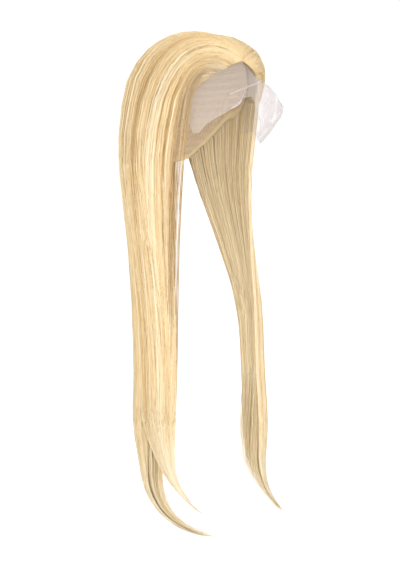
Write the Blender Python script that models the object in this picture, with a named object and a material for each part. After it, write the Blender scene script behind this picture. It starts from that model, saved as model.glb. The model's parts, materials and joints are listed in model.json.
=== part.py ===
"""Long straight lace front wig, held up as a head holds it.

Metres, +Z up, the wearer faces -Y and the wearer's right is -X. The origin is the point
inside the crown that rests on the top of the head. The head form is two half ellipsoids
that meet at the widest level of the head. Azimuth is measured round the head from the
front (-Y), and latitude from the widest level up, both in degrees. A share runs from 0
to 1.
"""

import math

import bmesh
import bpy
from mathutils import Vector

# The head that the wig fits
HEAD_WIDTH = 0.152
HEAD_LENGTH = 0.194
CROWN_HEIGHT = 0.100  # from the widest level up to the top of the head
LOWER_HEIGHT = 0.150  # from the widest level down to where the head form would close

# The cap and the lace
CAP_WALL = 0.0015
LACE_WALL = 0.0010
SEAM_GAP = 0.0008  # between the lace and the cap, edge to edge
LACE_FLARE = 0.036  # how far the loose margin stands off the left temple
EAR_TAB_AZIMUTH = 78.0  # where the lace ends, in front of each ear
CAP_COLUMNS = 36
CAP_ROWS = 9
LACE_COLUMNS = 48
LACE_ROWS = 9
HAIRLINE_ROW = 1.0 / 3.0  # share of the lace's rows that lie under the hair
FLAT_LACE = 2.0  # degrees below the hairline where the lace can leave the forehead

# The hair
HAIR_FALL = 0.705  # along the longest lock, from the widest level to its tip
ROOT_HAIR = 0.004  # thickness of the hair along the parting
SIDE_HAIR = 0.031  # thickness of the hair at the widest level
CROWN_GROWTH = 1.3  # above 1, the hair stays thin for longer on its way down the crown
HAIRLINE_HAIR = 0.50  # thickness at the hairline, as a share of ROOT_HAIR
FRONT_HAIR = 0.30  # thickness at the front edge, as a share of SIDE_HAIR
FRONT_LIFT = 0.009  # extra thickness where the hair is combed back from the hairline
HAIR_CLEARANCE = 0.0010  # between the cap and the hair on it
LOCK_GAP = 0.0008  # between one lock and the next
FALL_GAP = 0.0003  # between the crown hair and the locks that hang from it
PARTING_GAP = 0.0012  # between the crown hair of the two sides
FRONT_AZIMUTH = 57.0  # front edge of the hair at the widest level, on both sides
HAIRLINE_FOOT = 49.0  # where the front edge of the hair leaves the hairline
PARTING_FRONT = 37.0  # front end of the parting, as a turn up from the front
PARTING_REAR = 135.0  # where the parting ends, behind the top of the head
HAIRLINE_SHARE = 0.15  # share of a side's hair that is rooted along the hairline
SWEEP_BACK = 0.22  # how far hair bows up and back, as a share of its run on the crown
LOCKS = 16
RIGHT_LOCKS = 10  # the locks that hang on the right side and over the back
FRONT_LOCKS = 3  # the locks of the right side that end in the shorter tip
CROWN_LOCKS = LOCKS // 2
LOBE_COLUMNS = 4
LOBE_GROOVE = 0.16  # depth of the dents between the locks, as a share of the thickness
CROWN_ROWS = 10
RING_POINTS = 10
RING_POWER = 3.2  # above 2, the section of a lock is squarer than an ellipse
BEND_SECTIONS = 5
TIP_SCALE = 0.20  # width of a lock's end, as a share of its full width
TIP_POWER = 2.6  # above 1, a lock keeps its width for longer and then tapers faster
GATHER_START = 0.64  # share of HAIR_FALL where the locks start to draw together
GATHER_END = 0.96  # share of a bundle's length where they have drawn together

# The tips bend towards this azimuth, forwards and to the wearer's left
BEND_AZIMUTH = -46.0

HAIR_START = CAP_WALL + HAIR_CLEARANCE
SIDE_SPAN = 180.0 - FRONT_AZIMUTH
LOCK_SPAN = SIDE_SPAN / CROWN_LOCKS
RIGHT, LEFT = -1.0, 1.0  # side of the head, as the sign of X

# Lower rim of the cap, the same on both sides
CAP_RIM = (
    {"azimuth": 0.0, "latitude": 62.0},
    {"azimuth": 30.0, "latitude": 54.0},
    {"azimuth": 50.0, "latitude": 40.0},
    {"azimuth": 60.0, "latitude": 29.0},
    {"azimuth": 70.0, "latitude": 14.0},
    {"azimuth": 80.0, "latitude": -1.0},
    {"azimuth": 90.0, "latitude": -5.0},
    {"azimuth": 100.0, "latitude": -7.0},
    {"azimuth": 120.0, "latitude": -19.0},
    {"azimuth": 140.0, "latitude": -30.0},
    {"azimuth": 180.0, "latitude": -36.0},
)

# The hairline, the same on both sides
HAIRLINE = (
    {"azimuth": 0.0, "latitude": 37.0},
    {"azimuth": 22.0, "latitude": 27.0},
    {"azimuth": 43.0, "latitude": 13.0},
    {"azimuth": 53.0, "latitude": 2.0},
    {"azimuth": 58.0, "latitude": -6.0},
    {"azimuth": 78.0, "latitude": -10.0},
)

# Cut edge of the lace from the right ear tab round to the left one. Azimuth is positive on
# the wearer's right, and flare is a share of LACE_FLARE.
LACE_EDGE = (
    {"azimuth": 78.0, "latitude": -15.0, "flare": 0.0},
    {"azimuth": 66.0, "latitude": -14.5, "flare": 0.0},
    {"azimuth": 60.0, "latitude": -13.0, "flare": 0.0},
    {"azimuth": 57.0, "latitude": -18.0, "flare": 0.02},
    {"azimuth": 51.0, "latitude": -18.0, "flare": 0.06},
    {"azimuth": 43.0, "latitude": -13.0, "flare": 0.07},
    {"azimuth": 32.0, "latitude": -9.0, "flare": 0.07},
    {"azimuth": 19.0, "latitude": -5.0, "flare": 0.07},
    {"azimuth": 9.0, "latitude": -2.5, "flare": 0.08},
    {"azimuth": 3.0, "latitude": 2.0, "flare": 0.10},
    {"azimuth": -8.0, "latitude": 4.0, "flare": 0.20},
    {"azimuth": -16.0, "latitude": -3.0, "flare": 0.42},
    {"azimuth": -25.0, "latitude": -11.0, "flare": 0.72},
    {"azimuth": -34.0, "latitude": -20.0, "flare": 0.96},
    {"azimuth": -42.0, "latitude": -21.5, "flare": 1.0},
    {"azimuth": -49.0, "latitude": -18.0, "flare": 0.55},
    {"azimuth": -55.0, "latitude": -15.0, "flare": 0.0},
    {"azimuth": -78.0, "latitude": -15.0, "flare": 0.0},
)

# How the loose margin stands off, from the hairline (drop 0) to the cut edge (drop 1)
FLARE_PROFILE = (
    {"drop": 0.0, "flare": 0.0},
    {"drop": 0.17, "flare": 0.30},
    {"drop": 0.52, "flare": 1.0},
    {"drop": 0.76, "flare": 0.76},
    {"drop": 1.0, "flare": 0.34},
)

# Sections of the hanging hair. Level is a share of HAIR_FALL, x and y place the centre and
# wide and deep are half widths, all as shares of the head's half width and half length.
# Front and rear are azimuths, and thick is a share of SIDE_HAIR.
RIGHT_SECTIONS = (
    {"level": 0.00, "x": 0.00, "wide": 1.00, "y": 0.00, "deep": 1.00, "front": 57.0, "rear": 210.75, "thick": 1.00},
    {"level": 0.14, "x": -0.02, "wide": 1.04, "y": 0.00, "deep": 1.03, "front": 63.0, "rear": 207.0, "thick": 0.92},
    {"level": 0.28, "x": -0.02, "wide": 1.00, "y": 0.00, "deep": 0.92, "front": 66.5, "rear": 203.0, "thick": 0.80},
    {"level": 0.43, "x": -0.02, "wide": 0.97, "y": 0.00, "deep": 0.84, "front": 68.0, "rear": 199.0, "thick": 0.70},
    {"level": 0.57, "x": -0.02, "wide": 0.96, "y": 0.01, "deep": 0.83, "front": 69.0, "rear": 194.0, "thick": 0.62},
    {"level": 0.68, "x": -0.04, "wide": 0.94, "y": 0.05, "deep": 0.85, "front": 69.0, "rear": 188.0, "thick": 0.57},
    {"level": 0.80, "x": -0.04, "wide": 0.90, "y": 0.05, "deep": 0.79, "front": 72.0, "rear": 182.0, "thick": 0.50},
)
LEFT_SECTIONS = (
    {"level": 0.00, "x": 0.00, "wide": 1.00, "y": 0.00, "deep": 1.00, "front": 57.0, "rear": 149.25, "thick": 1.00},
    {"level": 0.14, "x": 0.00, "wide": 0.99, "y": 0.00, "deep": 0.92, "front": 68.0, "rear": 137.0, "thick": 0.80},
    {"level": 0.28, "x": 0.02, "wide": 1.01, "y": 0.00, "deep": 0.83, "front": 64.0, "rear": 117.0, "thick": 0.72},
    {"level": 0.43, "x": 0.06, "wide": 1.05, "y": -0.02, "deep": 0.82, "front": 60.0, "rear": 95.0, "thick": 0.72},
    {"level": 0.57, "x": 0.08, "wide": 1.03, "y": -0.06, "deep": 0.80, "front": 57.0, "rear": 90.0, "thick": 0.70},
    {"level": 0.68, "x": 0.08, "wide": 1.05, "y": -0.08, "deep": 0.84, "front": 54.0, "rear": 91.0, "thick": 0.70},
    {"level": 0.80, "x": 0.08, "wide": 1.05, "y": -0.08, "deep": 0.84, "front": 54.0, "rear": 90.0, "thick": 0.66},
)
STRAIGHT_LEVELS = (0.0, 0.07, 0.14, 0.28, 0.43, 0.57, 0.64, 0.71)

# How each bundle of locks ends. Bend is where its tips start to bend and length is its
# length, both as shares of HAIR_FALL. Turn is the angle of the bend, keep is how much of
# its spread the bundle keeps, and x and y place the line that the locks draw towards.
BUNDLES = {
    "right_front": {"bend": 0.750, "length": 0.890, "turn": 50.0, "keep": 0.38, "x": -0.84, "y": 0.04},
    "right_rear": {"bend": 0.787, "length": 1.000, "turn": 86.0, "keep": 0.32, "x": -0.64, "y": 0.62},
    "left": {"bend": 0.752, "length": 0.885, "turn": 50.0, "keep": 0.44, "x": 1.17, "y": -0.39},
}

# Length of each lock as a share of its bundle's, from the front edge backwards
RIGHT_LENGTHS = (0.96, 1.00, 0.98, 0.95, 0.98, 1.00, 0.985, 0.96, 0.93, 0.90)
LEFT_LENGTHS = (0.97, 1.00, 0.985, 0.96, 0.94, 0.92)

# Finishes: colour, roughness
HAIR_FINISH = ((0.85, 0.68, 0.42), 0.42)
ROOT_FINISH = ((0.80, 0.62, 0.37), 0.45)
CAP_FINISH = ((0.74, 0.62, 0.47), 0.85)
LACE_FINISH = ((0.90, 0.87, 0.82), 0.80)


def between(rows, key, at, column):
    """Value of a table's column where its key equals at, on straight lines between rows."""
    ordered = sorted(rows, key=lambda row: row[key])
    if at <= ordered[0][key]:
        return ordered[0][column]
    for low, high in zip(ordered, ordered[1:]):
        if at <= high[key]:
            share = (at - low[key]) / (high[key] - low[key])
            return low[column] + share * (high[column] - low[column])
    return ordered[-1][column]


def ease(share):
    """Ease from 0 to 1, level at both ends."""
    share = min(1.0, max(0.0, share))
    return share * share * (3.0 - 2.0 * share)


def direction(azimuth, latitude):
    """Direction on a unit head. Azimuth is positive on the wearer's right."""
    turn, rise = math.radians(azimuth), math.radians(latitude)
    return Vector((
        -math.cos(rise) * math.sin(turn),
        -math.cos(rise) * math.cos(turn),
        math.sin(rise),
    ))


def on_head(heading, offset):
    """Point of the head form in the direction of heading, offset outwards."""
    height = CROWN_HEIGHT if heading.z > 0.0 else LOWER_HEIGHT
    return Vector((
        heading.x * (HEAD_WIDTH / 2.0 + offset),
        heading.y * (HEAD_LENGTH / 2.0 + offset),
        heading.z * (height + offset) - CROWN_HEIGHT,
    ))


def rim_latitude(azimuth):
    """Latitude of the cap's lower rim."""
    return between(CAP_RIM, "azimuth", abs(azimuth), "latitude")


def hairline_latitude(azimuth):
    """Latitude of the hairline."""
    return between(HAIRLINE, "azimuth", abs(azimuth), "latitude")


def root_heading(side, share):
    """Where a hair of the crown is rooted, on the hairline or on the parting."""
    if share < HAIRLINE_SHARE:
        azimuth = HAIRLINE_FOOT * (1.0 - share / HAIRLINE_SHARE)
        heading = direction(azimuth, hairline_latitude(azimuth))
    else:
        behind = (share - HAIRLINE_SHARE) / (1.0 - HAIRLINE_SHARE)
        heading = direction(0.0, PARTING_FRONT + (PARTING_REAR - PARTING_FRONT) * behind**1.1)
    heading.x = side * max(abs(heading.x), PARTING_GAP / HEAD_WIDTH)
    return heading


def crown_heading(side, share, along):
    """Direction of a hair between its root (along 0) and the widest level (along 1)."""
    root = root_heading(side, share)
    end = direction(FRONT_AZIMUTH + SIDE_SPAN * share, 0.0)
    end.x = side * max(abs(end.x), PARTING_GAP / HEAD_WIDTH)
    bow = SWEEP_BACK * (root - end).length * math.sin(math.pi * along)
    path = root.slerp(end, along) + bow * Vector((0.0, 0.45, 0.9))
    return path.normalized()


def side_thickness(share):
    """Thickness of the hair at the widest level, share behind its front edge."""
    return SIDE_HAIR * (FRONT_HAIR + (1.0 - FRONT_HAIR) * ease(share / 0.28))


def crown_point(side, share, along, depth):
    """Point in the crown hair, with depth 0 next to the cap and 1 outside."""
    rooted = HAIRLINE_HAIR + (1.0 - HAIRLINE_HAIR) * ease((share - 0.10) / 0.25)
    root = ROOT_HAIR * rooted
    thickness = root + (side_thickness(share) - root) * along**CROWN_GROWTH
    thickness += FRONT_LIFT * math.sin(math.pi * along) ** 0.7 * (1.0 - ease((share - 0.06) / 0.26))
    groove = abs(math.cos(math.pi * share * CROWN_LOCKS)) ** 6
    edge = ease(share * CROWN_LOCKS) * ease((1.0 - share) * CROWN_LOCKS)
    thickness *= 1.0 - LOBE_GROOVE * groove * edge * ease(along * 1.6)
    return on_head(crown_heading(side, share, along), HAIR_START + depth * thickness)


def fall_point(sections, side, share, depth, level):
    """Point of the hanging hair in one level section, before its tips bend."""
    row = {name: between(sections, "level", level, name) for name in sections[0]}
    turn = math.radians(row["front"] + (row["rear"] - row["front"]) * share)
    span = sections[0]["rear"] - sections[0]["front"]
    offset = HAIR_START + depth * row["thick"] * side_thickness(share * span / SIDE_SPAN)
    half_width, half_length = HEAD_WIDTH / 2.0, HEAD_LENGTH / 2.0
    return Vector((
        row["x"] * half_width + side * (row["wide"] * half_width + offset) * math.sin(turn),
        row["y"] * half_length - (row["deep"] * half_length + offset) * math.cos(turn),
        0.0,
    ))


def lock_section(sections, side, index, count, level, scale):
    """Ring of points round a lock at one level, scaled about the lock's middle."""
    ends = [fall_point(sections, side, edge / count, 0.5, level) for edge in (index, index + 1)]
    gap = LOCK_GAP / (ends[1] - ends[0]).length
    middle = fall_point(sections, side, (index + 0.5) / count, 0.5, level)
    flat = abs(math.cos(math.pi / RING_POINTS)) ** (2.0 / RING_POWER)
    ring = []
    for point in range(RING_POINTS):
        angle = 2.0 * math.pi * (point + 0.5) / RING_POINTS
        across = math.copysign(abs(math.cos(angle)) ** (2.0 / RING_POWER) / flat, math.cos(angle))
        out = math.copysign(abs(math.sin(angle)) ** (2.0 / RING_POWER), math.sin(angle))
        share = (index + 0.5 + 0.5 * across * (1.0 - gap)) / count
        place = fall_point(sections, side, share, 0.5 + 0.5 * out, level)
        ring.append(middle + (place - middle) * scale)
    return ring


def bend_section(ring, bundle, level):
    """Draw a lock's section in towards its bundle's line and bend the tips round."""
    line = Vector((bundle["x"] * HEAD_WIDTH / 2.0, bundle["y"] * HEAD_LENGTH / 2.0, 0.0))
    drawn = ease((level - GATHER_START) / (GATHER_END * bundle["length"] - GATHER_START))
    keep = 1.0 - (1.0 - bundle["keep"]) * drawn
    turn = math.radians(bundle["turn"])
    radius = (bundle["length"] - bundle["bend"]) * HAIR_FALL / turn
    angle = max(0.0, (level - bundle["bend"]) * HAIR_FALL / radius)
    straight = min(level, bundle["bend"]) * HAIR_FALL
    ahead = direction(BEND_AZIMUTH, 0.0)
    across = Vector((-ahead.y, ahead.x, 0.0))
    tilted = ahead * math.cos(angle) + Vector((0.0, 0.0, math.sin(angle)))
    middle = line + ahead * radius * (1.0 - math.cos(angle))
    middle.z = -CROWN_HEIGHT - FALL_GAP - straight - radius * math.sin(angle)
    spread = [(point - line) * keep for point in ring]
    return [middle + tilted * offset.dot(ahead) + across * offset.dot(across) for offset in spread]


def lock_rings(sections, side, index, count, bundle, length_share):
    """All the sections of one lock, from the crown hair down to its tip."""
    end = bundle["length"] * length_share
    levels = [level for level in STRAIGHT_LEVELS if level < bundle["bend"] - 0.02]
    levels += [
        bundle["bend"] + (end - bundle["bend"]) * step / BEND_SECTIONS
        for step in range(BEND_SECTIONS + 1)
    ]
    rings = []
    for level in levels:
        spent = max(0.0, (level - GATHER_START) / (end - GATHER_START))
        scale = 1.0 - (1.0 - TIP_SCALE) * spent**TIP_POWER
        ring = lock_section(sections, side, index, count, level, scale)
        rings.append(bend_section(ring, bundle, level))
    return rings


def new_material(name, finish):
    """A plain material with a colour and a roughness."""
    colour, roughness = finish
    material = bpy.data.materials.new(name)
    material.use_nodes = True
    shader = material.node_tree.nodes["Principled BSDF"]
    shader.inputs["Base Color"].default_value = (*colour, 1.0)
    shader.inputs["Roughness"].default_value = roughness
    shader.inputs["Metallic"].default_value = 0.0
    return material


def face_outwards(mesh):
    """Turn the faces of a closed body, or of a sheet on the head, outwards."""
    bmesh.ops.recalc_face_normals(mesh, faces=mesh.faces)
    middle = Vector((0.0, 0.0, -CROWN_HEIGHT))
    if any(edge.is_boundary for edge in mesh.edges):
        outwards = sum(
            face.calc_area() * face.normal.dot(face.calc_center_median() - middle)
            for face in mesh.faces
        )
    else:
        outwards = mesh.calc_volume(signed=True)
    if outwards < 0.0:
        bmesh.ops.reverse_faces(mesh, faces=mesh.faces[:])


def add_piece(name, mesh, material, parent):
    """Close a bmesh into a named object, with its origin on its highest point."""
    face_outwards(mesh)
    top = max((vert.co for vert in mesh.verts), key=lambda place: place.z).copy()
    bmesh.ops.translate(mesh, vec=-top, verts=mesh.verts)
    data = bpy.data.meshes.new(name)
    mesh.to_mesh(data)
    mesh.free()
    data.materials.append(material)
    data.shade_smooth()
    piece = bpy.data.objects.new(name, data)
    piece.location = top
    piece.parent = parent
    bpy.context.collection.objects.link(piece)
    return piece


def add_wall(piece, thickness):
    """Give a sheet its thickness, outwards from the head."""
    wall = piece.modifiers.new("wall", "SOLIDIFY")
    wall.thickness = thickness
    wall.offset = 1.0
    wall.use_even_offset = False


def dome_mesh():
    """The cap's inner surface: the top of a sphere, fitted to the head down to the rim."""
    mesh = bmesh.new()
    bmesh.ops.create_uvsphere(mesh, u_segments=CAP_COLUMNS, v_segments=2 * CAP_ROWS, radius=1.0)
    below = [vert for vert in mesh.verts if vert.co.z < -0.01]
    bmesh.ops.delete(mesh, geom=below, context="VERTS")
    for vert in mesh.verts:
        azimuth = math.degrees(math.atan2(-vert.co.x, -vert.co.y))
        down = math.acos(min(1.0, max(0.0, vert.co.z))) / (math.pi / 2.0)
        latitude = 90.0 + (rim_latitude(azimuth) - 90.0) * down
        vert.co = on_head(direction(azimuth, latitude), 0.0)
    return mesh


def lace_point(across, down):
    """Point on the lace's inner surface, from the seam (down 0) to the cut edge (down 1)."""
    azimuth = EAR_TAB_AZIMUTH * (1.0 - 2.0 * across)
    seam = rim_latitude(azimuth) - math.degrees(SEAM_GAP / CROWN_HEIGHT)
    hairline = min(hairline_latitude(azimuth), seam) - FLAT_LACE
    edge = between(LACE_EDGE, "azimuth", azimuth, "latitude")
    if down <= HAIRLINE_ROW:
        latitude = seam + (hairline - seam) * down / HAIRLINE_ROW
        flare = 0.0
    else:
        drop = (down - HAIRLINE_ROW) / (1.0 - HAIRLINE_ROW)
        latitude = hairline + (edge - hairline) * drop
        flare = between(FLARE_PROFILE, "drop", drop, "flare")
        flare *= between(LACE_EDGE, "azimuth", azimuth, "flare")
    return on_head(direction(azimuth, latitude), LACE_FLARE * flare)


def grid_mesh(columns, rows):
    """A flat grid whose X and Y run from 0 to 1."""
    mesh = bmesh.new()
    bmesh.ops.create_grid(mesh, x_segments=columns, y_segments=rows, size=0.5)
    bmesh.ops.translate(mesh, vec=(0.5, 0.5, 0.0), verts=mesh.verts)
    return mesh


def lace_mesh():
    """The lace sheet between the two ear tabs."""
    mesh = grid_mesh(LACE_COLUMNS, LACE_ROWS)
    for vert in mesh.verts:
        vert.co = lace_point(vert.co.x, vert.co.y)
    return mesh


def crown_mesh(side):
    """The hair of one side of the crown: a block of unit size, bent over the cap."""
    mesh = grid_mesh(LOBE_COLUMNS * CROWN_LOCKS, CROWN_ROWS)
    raised = bmesh.ops.extrude_face_region(mesh, geom=mesh.faces[:])["geom"]
    verts = [item for item in raised if isinstance(item, bmesh.types.BMVert)]
    bmesh.ops.translate(mesh, vec=(0.0, 0.0, 1.0), verts=verts)
    for vert in mesh.verts:
        vert.co = crown_point(side, *vert.co)
    return mesh


def lock_mesh(rings):
    """A lock: its top face, extruded from section to section."""
    mesh = bmesh.new()
    face = mesh.faces.new([mesh.verts.new(place) for place in rings[0]])
    for ring in rings[1:]:
        grown = bmesh.ops.extrude_face_region(mesh, geom=[face])["geom"]
        inner = face
        face = next(item for item in grown if isinstance(item, bmesh.types.BMFace))
        for vert, place in zip(face.verts, ring):
            vert.co = place
        if ring is not rings[1]:
            bmesh.ops.delete(mesh, geom=[inner], context="FACES_ONLY")
    return mesh


def add_locks(material, parent):
    """The locks of the right side, the back and the left side."""
    for index, length_share in enumerate(RIGHT_LENGTHS):
        bundle = BUNDLES["right_front" if index < FRONT_LOCKS else "right_rear"]
        name = f"right_lock_{index + 1}" if index < 6 else f"back_lock_{index - 5}"
        rings = lock_rings(RIGHT_SECTIONS, RIGHT, index, RIGHT_LOCKS, bundle, length_share)
        add_piece(name, lock_mesh(rings), material, parent)
    for index, length_share in enumerate(LEFT_LENGTHS):
        count = LOCKS - RIGHT_LOCKS
        rings = lock_rings(LEFT_SECTIONS, LEFT, index, count, BUNDLES["left"], length_share)
        add_piece(f"left_lock_{index + 1}", lock_mesh(rings), material, parent)


def main():
    """Build the wig."""
    for item in list(bpy.data.objects):
        bpy.data.objects.remove(item, do_unlink=True)

    hair = new_material("hair", HAIR_FINISH)
    roots = new_material("crown_hair", ROOT_FINISH)
    net = new_material("cap_net", CAP_FINISH)
    lace = new_material("lace", LACE_FINISH)

    seat = bpy.data.objects.new("head_seat", None)
    bpy.context.collection.objects.link(seat)

    add_wall(add_piece("cap_crown", dome_mesh(), net, seat), CAP_WALL)
    add_wall(add_piece("lace_front", lace_mesh(), lace, seat), LACE_WALL)
    add_piece("crown_hair_right", crown_mesh(RIGHT), roots, seat)
    add_piece("crown_hair_left", crown_mesh(LEFT), roots, seat)
    add_locks(hair, seat)


main()
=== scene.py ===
"""Long straight lace front wig with a middle parting, held up as it is worn.

Metres, +Z up, the wearer faces -Y and the wearer's right is -X. The origin is inside the
crown, where the cap rests on the head. Hair is placed on a map: a share runs round the
head from the front edge of the hair, a depth runs out from the cap, and a run follows a
hair from its root (-1) over the widest level of the head (0) and down to its tip.
"""

import json
import logging
import math
from collections.abc import Callable
from dataclasses import dataclass, field, replace
from enum import Enum
from functools import partial

import bpy
import numpy as np
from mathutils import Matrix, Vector

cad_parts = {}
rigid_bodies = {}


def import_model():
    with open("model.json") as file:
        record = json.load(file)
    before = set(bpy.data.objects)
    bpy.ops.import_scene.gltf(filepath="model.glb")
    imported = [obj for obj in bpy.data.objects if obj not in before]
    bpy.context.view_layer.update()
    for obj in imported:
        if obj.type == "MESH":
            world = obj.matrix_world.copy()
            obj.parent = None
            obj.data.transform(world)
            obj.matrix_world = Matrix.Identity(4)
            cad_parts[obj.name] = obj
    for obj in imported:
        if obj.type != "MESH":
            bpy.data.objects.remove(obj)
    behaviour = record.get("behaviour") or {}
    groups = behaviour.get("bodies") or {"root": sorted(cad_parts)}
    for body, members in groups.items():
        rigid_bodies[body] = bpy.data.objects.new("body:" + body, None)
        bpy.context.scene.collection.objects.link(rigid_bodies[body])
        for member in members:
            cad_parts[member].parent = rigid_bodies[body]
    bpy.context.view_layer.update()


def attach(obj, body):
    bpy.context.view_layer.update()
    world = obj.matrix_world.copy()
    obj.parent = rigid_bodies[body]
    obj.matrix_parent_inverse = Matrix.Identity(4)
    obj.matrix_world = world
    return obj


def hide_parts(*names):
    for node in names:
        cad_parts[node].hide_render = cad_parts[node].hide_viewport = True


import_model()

LOG = logging.getLogger("wig")
BODY = "root"
Array = np.ndarray


# Helpers for numbers and meshes


def ease(share: Array | float) -> Array:
    """Ease from 0 to 1, level at both ends."""
    share = np.clip(share, 0.0, 1.0)
    return share * share * (3.0 - 2.0 * share)


def curve_through(knots: Array, values: Array, at: Array | float) -> Array:
    """Read a smooth curve through some points.

    Args:
        knots: Where the points are, rising.
        values: The value at each point.
        at: Where to read the curve. Past its ends the curve is level.

    Returns:
        The curve's values.
    """
    at = np.clip(np.asarray(at, dtype=float), knots[0], knots[-1])
    slopes = np.gradient(values, knots)
    low = np.clip(np.searchsorted(knots, at, side="right") - 1, 0, len(knots) - 2)
    step = knots[low + 1] - knots[low]
    share = (at - knots[low]) / step
    rise = values[low + 1] - values[low]
    start, end = slopes[low] * step, slopes[low + 1] * step
    bend = share * (1.0 - share)
    straight = values[low] + rise * share
    return straight + bend * ((start - rise) * (1.0 - share) - (end - rise) * share)


def unit(vectors: Array) -> Array:
    """Scale vectors to length 1."""
    return vectors / np.maximum(np.linalg.norm(vectors, axis=-1, keepdims=True), 1e-12)


def streaks(share: Array, cells: int, seed: int) -> Array:
    """Return random values that change softly across the hair.

    Args:
        share: Where each hair is.
        cells: Number of changes from share 0 to share 1.
        seed: Seed of the values.

    Returns:
        A value for each hair, with a spread of about 1.
    """
    values = np.random.default_rng(seed).normal(0.0, 1.2, cells + 1)
    return np.interp(share, np.linspace(0.0, 1.0, cells + 1), values)


def ridges(across: Array, run: Array) -> Array:
    """Return soft ridges from -1 to 1 that follow the hair."""
    return (
        np.sin(across * 17.0 + 0.7 * np.sin(run * 2.1))
        + np.sin(across * 31.0 + 1.1 * np.sin(run * 1.3 + 2.0))
        + 0.6 * np.sin(across * 53.0 + 1.7 * np.sin(run * 1.7 + 4.0))
    ) / 2.6


def read_points(piece: bpy.types.Object) -> Array:
    """Return a mesh's points as rows of X, Y and Z."""
    flat = np.empty(3 * len(piece.data.vertices))
    piece.data.vertices.foreach_get("co", flat)
    return flat.reshape(-1, 3)


def write_points(piece: bpy.types.Object, points: Array) -> None:
    """Move a mesh's points to new places."""
    piece.data.vertices.foreach_set("co", np.ascontiguousarray(points, dtype=np.float32).ravel())
    piece.data.update()


def deselect_all() -> None:
    """Leave object mode's selection empty."""
    for thing in bpy.context.view_layer.objects:
        thing.select_set(False)


def unit_grid(name: str, columns: int, rows: int) -> bpy.types.Object:
    """Add a grid whose X and Y run from 0 to 1.

    Args:
        name: The piece's name.
        columns: Faces along X.
        rows: Faces along Y.

    Returns:
        The new object, selected and active.
    """
    deselect_all()
    bpy.ops.mesh.primitive_grid_add(
        x_subdivisions=columns, y_subdivisions=rows, size=1.0, location=(0.5, 0.5, 0.0)
    )
    piece = bpy.context.object
    piece.name = piece.data.name = name
    bpy.ops.object.transform_apply(location=True, rotation=False, scale=False)
    return piece


def edit_whole(piece: bpy.types.Object, *steps: Callable[[], object]) -> None:
    """Work on a mesh in edit mode.

    Args:
        piece: The mesh's object.
        steps: What to do, one after another, each with all of the mesh selected.
    """
    bpy.context.view_layer.objects.active = piece
    bpy.ops.object.mode_set(mode="EDIT")
    for step in steps:
        bpy.ops.mesh.select_all(action="SELECT")
        step()
    bpy.ops.object.mode_set(mode="OBJECT")


def raise_block(piece: bpy.types.Object) -> None:
    """Extrude a unit grid by 1 along Z, which makes it a closed block."""
    upwards = {"value": (0.0, 0.0, 1.0)}
    edit_whole(piece, partial(bpy.ops.mesh.extrude_region_move, TRANSFORM_OT_translate=upwards))


def close_tube(piece: bpy.types.Object) -> None:
    """Join a rolled grid along its seam and cap its two ends."""
    join_seam = partial(bpy.ops.mesh.remove_doubles, threshold=1e-6)
    edit_whole(piece, join_seam, partial(bpy.ops.mesh.fill_holes, sides=0))


def face_outwards(piece: bpy.types.Object) -> None:
    """Turn all of a closed piece's faces outwards."""
    edit_whole(piece, partial(bpy.ops.mesh.normals_make_consistent, inside=False))


def thicken(piece: bpy.types.Object, thickness: float) -> None:
    """Give a sheet a wall on its outer side."""
    wall = piece.modifiers.new("wall", "SOLIDIFY")
    wall.thickness = thickness
    wall.offset = 1.0
    bpy.ops.object.modifier_apply(modifier=wall.name)


def store(mesh: bpy.types.Mesh, name: str, values: Array) -> None:
    """Keep a value at each point of a mesh, for its material to read."""
    mesh.attributes.new(name, "FLOAT", "POINT").data.foreach_set("value", values)


def shade(piece: bpy.types.Object, material: bpy.types.Material) -> None:
    """Shade a piece smooth and give it its only material."""
    piece.data.shade_smooth()
    piece.data.materials.clear()
    piece.data.materials.append(material)


# Material graphs


class Link:
    """An output socket that takes part in arithmetic."""

    def __init__(self, graph: "Graph", socket: bpy.types.NodeSocket) -> None:
        """Keep the socket and the graph that it belongs to."""
        self.graph = graph
        self.socket = socket

    def _math(self, operation: str, first: "Link | float", second: "Link | float") -> "Link":
        """Add a Math node."""
        return self.graph.node("ShaderNodeMath", {"operation": operation}, {0: first, 1: second})

    def __add__(self, other: "Link | float") -> "Link":
        """Add."""
        return self._math("ADD", self, other)

    def __radd__(self, other: float) -> "Link":
        """Add to a number."""
        return self._math("ADD", other, self)

    def __sub__(self, other: "Link | float") -> "Link":
        """Subtract."""
        return self._math("SUBTRACT", self, other)

    def __rsub__(self, other: float) -> "Link":
        """Subtract from a number."""
        return self._math("SUBTRACT", other, self)

    def __mul__(self, other: "Link | float") -> "Link":
        """Multiply."""
        return self._math("MULTIPLY", self, other)

    def __rmul__(self, other: float) -> "Link":
        """Multiply a number."""
        return self._math("MULTIPLY", other, self)

    def __pow__(self, other: "Link | float") -> "Link":
        """Raise to a power."""
        return self._math("POWER", self, other)

    def ramp(self, low: float, high: float) -> "Link":
        """Map low to 0 and high to 1, with smooth ends."""
        return self.graph.node(
            "ShaderNodeMapRange",
            {"interpolation_type": "SMOOTHSTEP"},
            {"Value": self, "From Min": low, "From Max": high},
        )


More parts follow.
